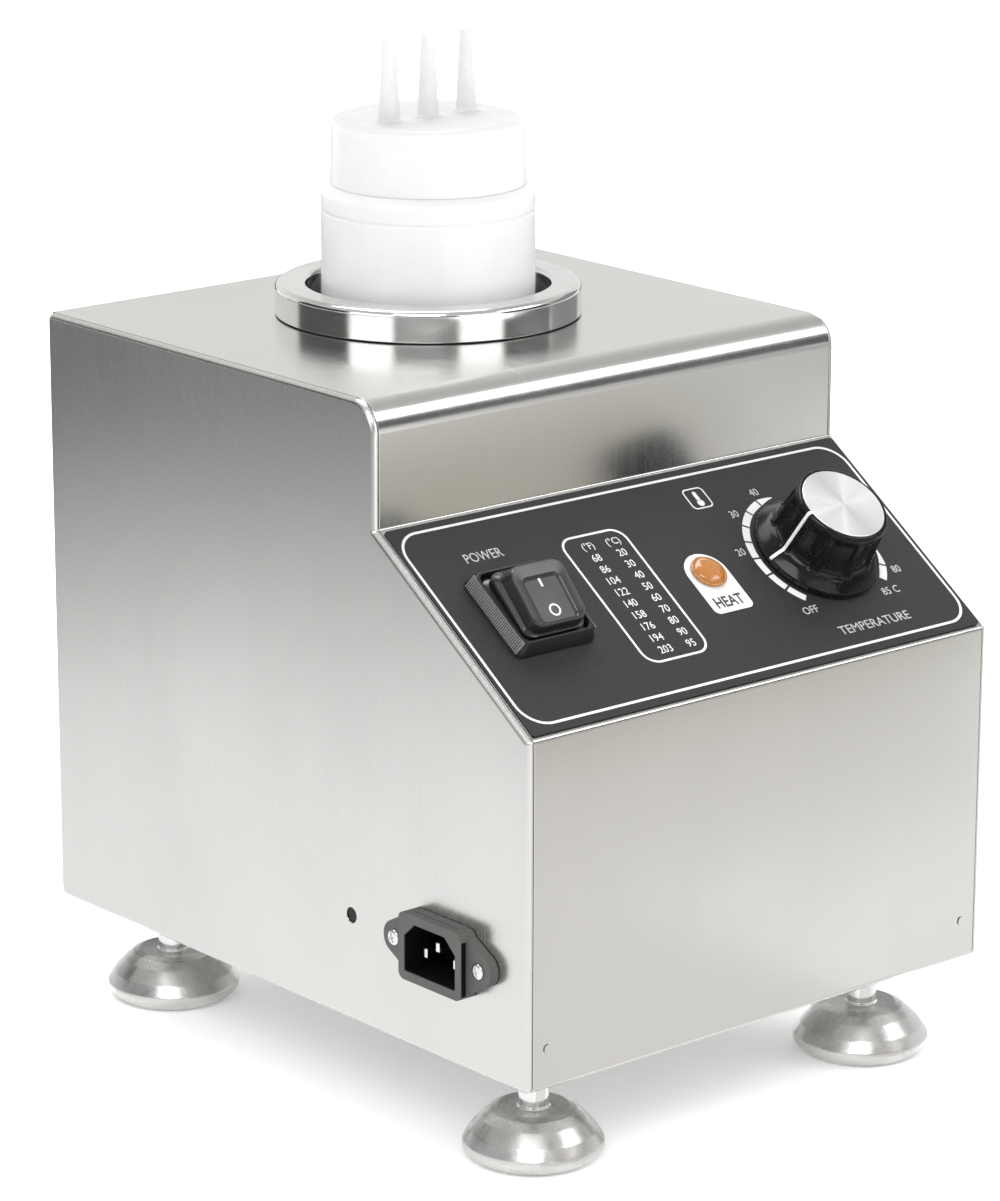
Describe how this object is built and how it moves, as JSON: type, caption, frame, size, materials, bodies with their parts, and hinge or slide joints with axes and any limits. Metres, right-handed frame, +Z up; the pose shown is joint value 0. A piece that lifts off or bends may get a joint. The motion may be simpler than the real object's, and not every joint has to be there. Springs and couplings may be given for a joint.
{
  "type": "nacho cheese dispenser",
  "caption": "Countertop heated-well dispenser: stainless box with sloped control panel, bell feet and a squeeze bottle with nozzle cap standing in a heated well.",
  "frame": {"origin": "centre of the footprint's bounding box, on the surface that the foot pads stand on", "axes": "+Z up, front of the housing towards -Y, power inlet on the -X side"},
  "size_m": [0.2004, 0.245, 0.3252],
  "materials": {
    "brushed_steel": "brushed stainless, vertical grain on the sides",
    "plain_steel": "plain stainless and plated steel inside",
    "polished_steel": "polished collar",
    "bright_chrome": "bright plating",
    "zinc_steel": "zinc-plated fasteners",
    "spun_aluminium": "circular-turned face",
    "copper": "bare copper",
    "brass": "machined brass",
    "overlay_film": "satin dark grey printed film",
    "black_plastic": "moulded black, semi gloss",
    "boot_rubber": "soft black",
    "orange_lens": "translucent orange lens",
    "white_plastic": "white moulding",
    "translucent_bottle": "milky translucent polyethylene",
    "mica": "mica band in a steel skin",
    "insulation": "ceramic wool felt",
    "black_rubber": "matt black rubber",
    "brown_wire": "silicone insulation",
    "blue_wire": "silicone insulation",
    "earth_wire": "silicone insulation",
    "white_wire": "silicone insulation"
  },
  "bodies": {
    "housing": {"top_front_cover": "brushed_steel", "left_side_panel": "brushed_steel", "right_side_panel": "brushed_steel", "back_panel": "brushed_steel", "front_rivet_left": "brushed_steel", "front_rivet_right": "brushed_steel", "base_plate": "plain_steel", "well_cup": "plain_steel", "well_clamp_ring": "plain_steel", "thermostat_body": "plain_steel", "well_collar": "polished_steel", "inlet_pin_live": "bright_chrome", "inlet_pin_neutral": "bright_chrome", "inlet_pin_earth": "bright_chrome", "inlet_screw_front": "bright_chrome", "inlet_screw_rear": "bright_chrome", "back_screw_1": "zinc_steel", "back_screw_2": "zinc_steel", "back_screw_3": "zinc_steel", "back_screw_4": "zinc_steel", "thermostat_screw_1": "zinc_steel", "thermostat_screw_2": "zinc_steel", "thermostat_bulb": "copper", "earth_stud": "brass", "control_overlay": "overlay_film", "switch_body": "black_plastic", "inlet_housing": "black_plastic", "switch_boot": "boot_rubber", "pilot_lens": "orange_lens", "pilot_body": "white_plastic", "terminal_block": "white_plastic", "heater_band": "mica", "insulation_jacket": "insulation", "well_gasket": "black_rubber", "wire_live": "brown_wire", "wire_switched": "brown_wire", "wire_heater_live": "brown_wire", "wire_neutral": "blue_wire", "wire_heater_neutral": "blue_wire", "wire_earth": "earth_wire", "wire_lamp": "white_wire"},
    "rocker": {"switch_rocker": "black_plastic"},
    "knob": {"control_knob": "black_plastic", "knob_disc": "spun_aluminium", "thermostat_shaft": "zinc_steel"},
    "bottle": {"bottle_body": "translucent_bottle"},
    "cap_liner_body": {"cap_liner": "white_plastic"},
    "cap": {"bottle_cap": "translucent_bottle"},
    "foot_front_left": {"foot_bell_front_left": "bright_chrome", "foot_pad_front_left": "black_rubber"},
    "stud_front_left": {"foot_stud_front_left": "zinc_steel"},
    "foot_front_right": {"foot_bell_front_right": "bright_chrome", "foot_pad_front_right": "black_rubber"},
    "stud_front_right": {"foot_stud_front_right": "zinc_steel"},
    "foot_rear_left": {"foot_bell_rear_left": "bright_chrome", "foot_pad_rear_left": "black_rubber"},
    "stud_rear_left": {"foot_stud_rear_left": "zinc_steel"},
    "foot_rear_right": {"foot_bell_rear_right": "bright_chrome", "foot_pad_rear_right": "black_rubber"},
    "stud_rear_right": {"foot_stud_rear_right": "zinc_steel"}
  },
  "joints": [
    {"name": "rocker_tilt", "type": "hinge", "parent": "housing", "child": "rocker", "pos_m": [-0.0623, -0.08503, 0.17162], "axis": [-1, 0, 0], "range_deg": [0, 26], "deforming": ["switch_boot"]},
    {"name": "knob_turn", "type": "hinge", "parent": "housing", "child": "knob", "pos_m": [0.0571, -0.08586, 0.16983], "axis": [0, 0.5696, -0.8219], "range_deg": [-43.5, 226.5]},
    {"name": "bottle_lift", "type": "slide", "parent": "housing", "child": "bottle", "axis": [0, 0, 1], "range_m": [0, 0.15]},
    {"name": "cap_rise", "type": "slide", "parent": "bottle", "child": "cap_liner_body", "axis": [0, 0, 1], "range_m": [0, 0.015]},
    {"name": "cap_turn", "type": "hinge", "parent": "cap_liner_body", "child": "cap", "pos_m": [0.0032, 0.0416, 0.2346], "axis": [0, 0, 1], "range_deg": [0, 1080]},
    {"name": "foot_drop_front_left", "type": "slide", "parent": "housing", "child": "foot_front_left", "axis": [0, 0, -1], "range_m": [0, 0.008]},
    {"name": "stud_turn_front_left", "type": "hinge", "parent": "foot_front_left", "child": "stud_front_left", "pos_m": [-0.0679, -0.0947, 0.02], "axis": [0, 0, -1], "range_deg": [0, 1920]},
    {"name": "foot_drop_front_right", "type": "slide", "parent": "housing", "child": "foot_front_right", "axis": [0, 0, -1], "range_m": [0, 0.008]},
    {"name": "stud_turn_front_right", "type": "hinge", "parent": "foot_front_right", "child": "stud_front_right", "pos_m": [0.0743, -0.0947, 0.02], "axis": [0, 0, -1], "range_deg": [0, 1920]},
    {"name": "foot_drop_rear_left", "type": "slide", "parent": "housing", "child": "foot_rear_left", "axis": [0, 0, -1], "range_m": [0, 0.008]},
    {"name": "stud_turn_rear_left", "type": "hinge", "parent": "foot_rear_left", "child": "stud_rear_left", "pos_m": [-0.0679, 0.092, 0.02], "axis": [0, 0, -1], "range_deg": [0, 1920]},
    {"name": "foot_drop_rear_right", "type": "slide", "parent": "housing", "child": "foot_rear_right", "axis": [0, 0, -1], "range_m": [0, 0.008]},
    {"name": "stud_turn_rear_right", "type": "hinge", "parent": "foot_rear_right", "child": "stud_rear_right", "pos_m": [0.0743, 0.092, 0.02], "axis": [0, 0, -1], "range_deg": [0, 1920]}
  ],
  "couplings": [
    {"joint": "cap_rise", "follows": "cap_turn", "m_per_rad": 0.00079577},
    {"joint": "stud_turn_front_left", "follows": "foot_drop_front_left", "rad_per_m": 4188.7},
    {"joint": "stud_turn_front_right", "follows": "foot_drop_front_right", "rad_per_m": 4188.7},
    {"joint": "stud_turn_rear_left", "follows": "foot_drop_rear_left", "rad_per_m": 4188.7},
    {"joint": "stud_turn_rear_right", "follows": "foot_drop_rear_right", "rad_per_m": 4188.7}
  ]
}
